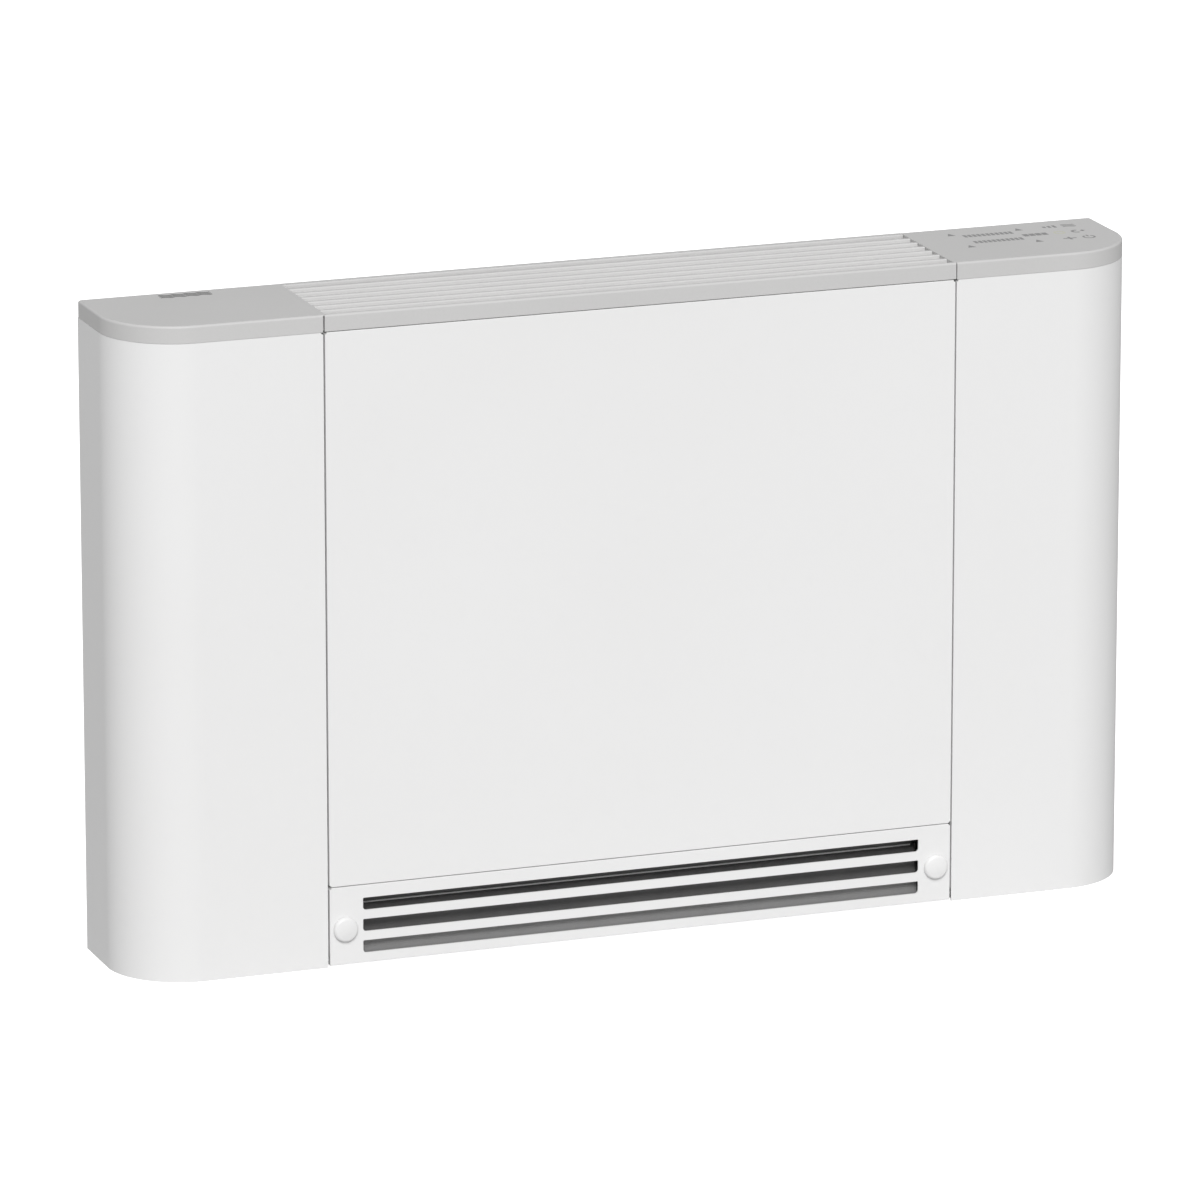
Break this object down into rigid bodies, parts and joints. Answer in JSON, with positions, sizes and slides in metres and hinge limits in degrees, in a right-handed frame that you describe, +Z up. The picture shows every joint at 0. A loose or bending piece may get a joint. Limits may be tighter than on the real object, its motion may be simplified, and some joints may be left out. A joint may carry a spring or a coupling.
{
  "type": "fan coil unit",
  "caption": "Slim wall or floor console: painted casing, plastic top with a linked tilting louvre, drop-down intake grille with filter, cross-flow fan, coil, valve and controls.",
  "frame": {"origin": "centre of the footprint at floor level", "axes": "+X along the unit to the electrics end (right, seen from the room), +Y to the wall, +Z up"},
  "size_m": [0.98, 0.1386, 0.605],
  "materials": {
    "white_paint": "satin powder-coated sheet steel",
    "white_plastic": "satin moulded plastic",
    "grey_plastic": "fine-grained light grey moulded plastic",
    "dark_plastic": "matt black moulded plastic",
    "filter_cloth": "woven filter cloth",
    "galvanised_steel": "galvanised sheet, faint spangle",
    "bright_steel": "turned and ground",
    "coil_aluminium": "closely pitched aluminium fins with copper bends",
    "copper": "drawn copper tube, lightly dulled",
    "brass": "machined brass",
    "rubber": "matt moulded rubber",
    "circuit_board": "green solder mask"
  },
  "bodies": {
    "casing": {"left_side_panel": "white_paint", "right_side_panel": "white_paint", "front_panel": "white_paint", "valve_actuator": "white_plastic", "left_cap": "grey_plastic", "right_cap": "grey_plastic", "louvre_front_trim": "grey_plastic", "louvre_rear_rail": "grey_plastic", "left_louvre_pivot_plate": "grey_plastic", "right_louvre_pivot_plate": "grey_plastic", "terminal_block": "grey_plastic", "left_knob_socket": "dark_plastic", "right_knob_socket": "dark_plastic", "louvre_switch": "dark_plastic", "drain_pan": "dark_plastic", "drain_spout": "dark_plastic", "cable_gland": "dark_plastic", "motor_capacitor": "dark_plastic", "air_sensor": "dark_plastic", "air_sensor_clip": "dark_plastic", "back_plate": "galvanised_steel", "left_bulkhead": "galvanised_steel", "right_bulkhead": "galvanised_steel", "lower_cross_rail": "galvanised_steel", "upper_cross_rail": "galvanised_steel", "fan_motor": "galvanised_steel", "motor_bracket": "galvanised_steel", "fan_rear_guide": "galvanised_steel", "fan_front_guide": "galvanised_steel", "electrical_box": "galvanised_steel", "electrical_cover": "galvanised_steel", "left_grille_hinge_pin": "bright_steel", "right_grille_hinge_pin": "bright_steel", "coil": "coil_aluminium", "inlet_pipe": "copper", "outlet_pipe": "copper", "valve_body": "brass", "inlet_coupling": "brass", "outlet_coupling": "brass", "air_vent": "brass", "fan_bearing": "rubber", "touch_board": "circuit_board", "controller_board": "circuit_board"},
    "blade_1": {"louvre_blade_1": "grey_plastic"},
    "blade_2": {"louvre_blade_2": "grey_plastic"},
    "blade_3": {"louvre_blade_3": "grey_plastic"},
    "blade_4": {"louvre_blade_4": "grey_plastic"},
    "blade_5": {"louvre_blade_5": "grey_plastic"},
    "blade_6": {"louvre_blade_6": "grey_plastic"},
    "link": {"louvre_link": "dark_plastic"},
    "flap": {"intake_grille": "white_paint", "filter_frame": "dark_plastic", "filter_mesh": "filter_cloth"},
    "left_catch": {"left_knob": "white_plastic"},
    "right_catch": {"right_knob": "white_plastic"},
    "fan": {"fan_rotor": "dark_plastic", "fan_drive_shaft": "bright_steel", "fan_stub_shaft": "bright_steel"}
  },
  "joints": [
    {"name": "louvre_tilt", "type": "hinge", "parent": "casing", "child": "blade_1", "pos_m": [0, -0.03775, 0.6], "axis": [-1, 0, 0], "range_deg": [0, 75]},
    {"name": "blade_2_tilt", "type": "hinge", "parent": "casing", "child": "blade_2", "pos_m": [0, -0.01995, 0.6], "axis": [-1, 0, 0], "range_deg": [0, 75]},
    {"name": "blade_3_tilt", "type": "hinge", "parent": "casing", "child": "blade_3", "pos_m": [0, -0.00215, 0.6], "axis": [-1, 0, 0], "range_deg": [0, 75]},
    {"name": "blade_4_tilt", "type": "hinge", "parent": "casing", "child": "blade_4", "pos_m": [0, 0.01565, 0.6], "axis": [-1, 0, 0], "range_deg": [0, 75]},
    {"name": "blade_5_tilt", "type": "hinge", "parent": "casing", "child": "blade_5", "pos_m": [0, 0.03345, 0.6], "axis": [-1, 0, 0], "range_deg": [0, 75]},
    {"name": "blade_6_tilt", "type": "hinge", "parent": "casing", "child": "blade_6", "pos_m": [0, 0.05125, 0.6], "axis": [-1, 0, 0], "range_deg": [0, 75]},
    {"name": "link_pivot", "type": "hinge", "parent": "blade_1", "child": "link", "pos_m": [-0.2968, -0.02751, 0.59283], "axis": [-1, 0, 0], "range_deg": [-75, 0]},
    {"name": "grille_hinge", "type": "hinge", "parent": "casing", "child": "flap", "pos_m": [0, -0.05855, 0.006], "axis": [1, 0, 0], "range_deg": [0, 70]},
    {"name": "left_catch_turn", "type": "hinge", "parent": "flap", "child": "left_catch", "pos_m": [-0.287, -0.06375, 0.035], "axis": [0, 1, 0], "range_deg": [0, 90]},
    {"name": "right_catch_turn", "type": "hinge", "parent": "flap", "child": "right_catch", "pos_m": [0.287, -0.06375, 0.035], "axis": [0, 1, 0], "range_deg": [0, 90]},
    {"name": "fan_spin", "type": "hinge", "parent": "casing", "child": "fan", "pos_m": [0, 0.008, 0.15], "axis": [1, 0, 0], "continuous": true}
  ],
  "couplings": [
    {"joint": "blade_2_tilt", "follows": "louvre_tilt", "ratio": 1},
    {"joint": "blade_3_tilt", "follows": "louvre_tilt", "ratio": 1},
    {"joint": "blade_4_tilt", "follows": "louvre_tilt", "ratio": 1},
    {"joint": "blade_5_tilt", "follows": "louvre_tilt", "ratio": 1},
    {"joint": "blade_6_tilt", "follows": "louvre_tilt", "ratio": 1},
    {"joint": "link_pivot", "follows": "louvre_tilt", "ratio": -1}
  ]
}
